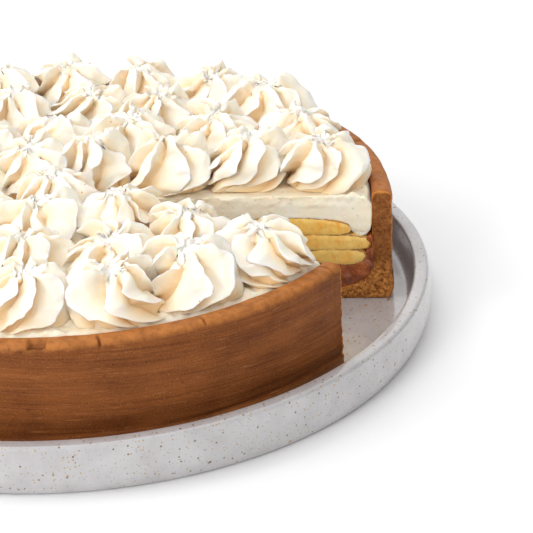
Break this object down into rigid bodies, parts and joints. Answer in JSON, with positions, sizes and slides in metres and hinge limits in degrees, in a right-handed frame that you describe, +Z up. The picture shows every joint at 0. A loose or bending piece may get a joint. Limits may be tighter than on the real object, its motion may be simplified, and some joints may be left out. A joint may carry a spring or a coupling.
{
  "type": "banoffee pie",
  "caption": "Round banoffee pie with piped cream rosettes, one slice cut out to show its layers, standing in a low speckled stoneware dish.",
  "frame": {"origin": "middle of the dish's underside, on the table", "axes": "+Z up, +X out through the middle of the missing slice"},
  "size_m": [0.2908, 0.2908, 0.0728],
  "materials": {
    "stoneware": "pale grey satin glaze with fine brown and tan specks",
    "crust": "baked chocolate-brown pastry, satin outside, crumbly where cut",
    "toffee": "wet, glossy and lumpy",
    "banana": "moist yellow flesh with fine fibres and thin brown edges",
    "cream": "smooth ivory whipped cream, cut face faintly pitted",
    "rosettes": "piped ivory cream, soft satin with fine torn edges"
  },
  "bodies": {
    "root": {"dish": "stoneware", "crust": "crust", "toffee": "toffee", "banana_lower": "banana", "banana_middle": "banana", "banana_upper": "banana", "banana_inner": "banana", "cream": "cream", "rosette_01": "rosettes", "rosette_02": "rosettes", "rosette_03": "rosettes", "rosette_04": "rosettes", "rosette_05": "rosettes", "rosette_06": "rosettes", "rosette_07": "rosettes", "rosette_08": "rosettes", "rosette_09": "rosettes", "rosette_10": "rosettes", "rosette_11": "rosettes", "rosette_12": "rosettes", "rosette_13": "rosettes", "rosette_14": "rosettes", "rosette_15": "rosettes", "rosette_16": "rosettes", "rosette_17": "rosettes", "rosette_18": "rosettes", "rosette_19": "rosettes", "rosette_20": "rosettes", "rosette_21": "rosettes", "rosette_22": "rosettes", "rosette_23": "rosettes", "rosette_24": "rosettes", "rosette_25": "rosettes", "rosette_26": "rosettes", "rosette_27": "rosettes", "rosette_28": "rosettes", "rosette_29": "rosettes", "rosette_30": "rosettes", "rosette_31": "rosettes", "rosette_32": "rosettes", "rosette_33": "rosettes", "rosette_34": "rosettes", "rosette_35": "rosettes", "rosette_36": "rosettes", "rosette_37": "rosettes", "rosette_38": "rosettes", "rosette_39": "rosettes", "rosette_40": "rosettes", "rosette_41": "rosettes", "rosette_42": "rosettes", "rosette_43": "rosettes"}
  },
  "joints": []
}
